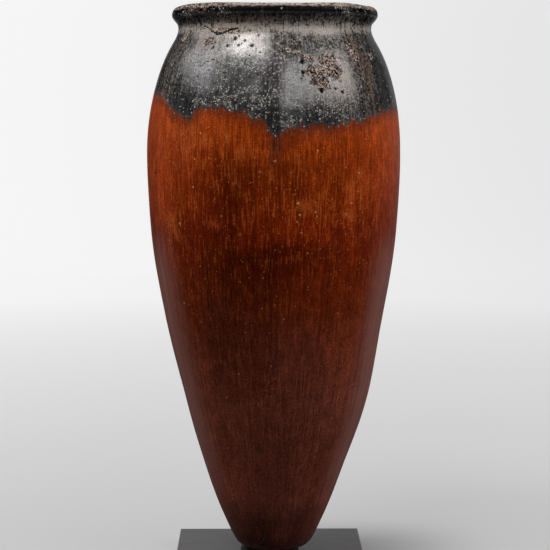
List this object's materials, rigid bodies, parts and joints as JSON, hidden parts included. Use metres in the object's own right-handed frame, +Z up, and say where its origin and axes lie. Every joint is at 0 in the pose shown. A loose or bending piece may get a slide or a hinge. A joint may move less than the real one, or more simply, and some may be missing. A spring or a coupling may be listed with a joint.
{
  "type": "black-topped vase",
  "caption": "Tall hollow clay jar with a rolled lip, black shoulder and red-brown body, tapering to a small rounded foot that sits in a low cup on a square plate.",
  "frame": {"origin": "on the underside of the base plate, straight below the jar's axis", "axes": "+Z up along the jar's axis; X and Y along the sides of the square plate, with the pictured side facing -Y"},
  "size_m": [0.176, 0.176, 0.3909],
  "materials": {
    "fired_clay": "burnished, with a black top",
    "cup_paint": "satin black",
    "plate_paint": "satin dark grey"
  },
  "bodies": {
    "root": {"vase": "fired_clay", "foot_cup": "cup_paint", "base_plate": "plate_paint"}
  },
  "joints": []
}
